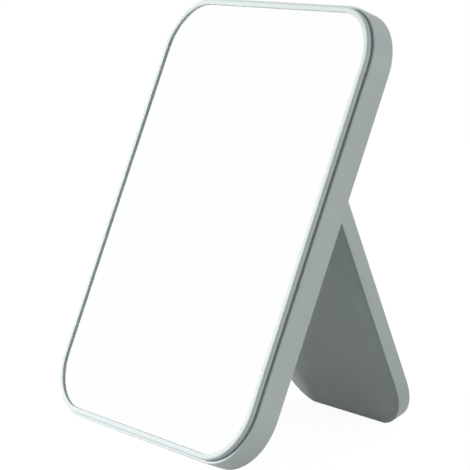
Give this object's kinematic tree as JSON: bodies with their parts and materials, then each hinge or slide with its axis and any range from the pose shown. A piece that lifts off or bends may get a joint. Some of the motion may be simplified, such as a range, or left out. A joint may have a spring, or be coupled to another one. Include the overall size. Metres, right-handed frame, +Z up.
{
  "type": "folding makeup mirror",
  "caption": "Upright tabletop makeup mirror with rounded corners and a slim raised rim, leaning on a wide flat leg that swings out of its back and folds flush.",
  "frame": {"origin": "on the desk under the middle of the open mirror's box", "axes": "+Z up, +X to the right as the user faces the glass, +Y away from the user, towards the leg"},
  "size_m": [0.152, 0.1226, 0.1887],
  "materials": {
    "body_plastic": "cool grey moulding with a fine matte texture",
    "silvered_glass": "polished silvered glass with a fine ground arris",
    "foam_tape": "double-sided foam tape",
    "steel": "bright zinc-plated steel",
    "acetal": "natural acetal, turned",
    "plug_rubber": "matte grey rubber"
  },
  "bodies": {
    "mirror": {"rear_shell": "body_plastic", "mirror_tray": "body_plastic", "mirror_glass": "silvered_glass", "mirror_tape_lower": "foam_tape", "mirror_tape_middle": "foam_tape", "mirror_tape_upper": "foam_tape", "case_screws": "steel", "screw_plug_lower_left": "plug_rubber", "screw_plug_lower_right": "plug_rubber", "screw_plug_middle_left": "plug_rubber", "screw_plug_middle_right": "plug_rubber", "screw_plug_upper_left": "plug_rubber", "screw_plug_upper_right": "plug_rubber", "hinge_pin_left": "steel", "hinge_pin_right": "steel", "friction_washer_left": "steel", "friction_washer_right": "steel"},
    "leg": {"leg_shell": "body_plastic", "leg_cover": "body_plastic", "leg_bush_left": "acetal", "leg_bush_right": "acetal"}
  },
  "joints": [
    {"name": "leg_fold", "type": "hinge", "parent": "mirror", "child": "leg", "pos_m": [0, 0.00292, 0.13778], "axis": [-1, 0, 0], "range_deg": [0, 44]}
  ]
}
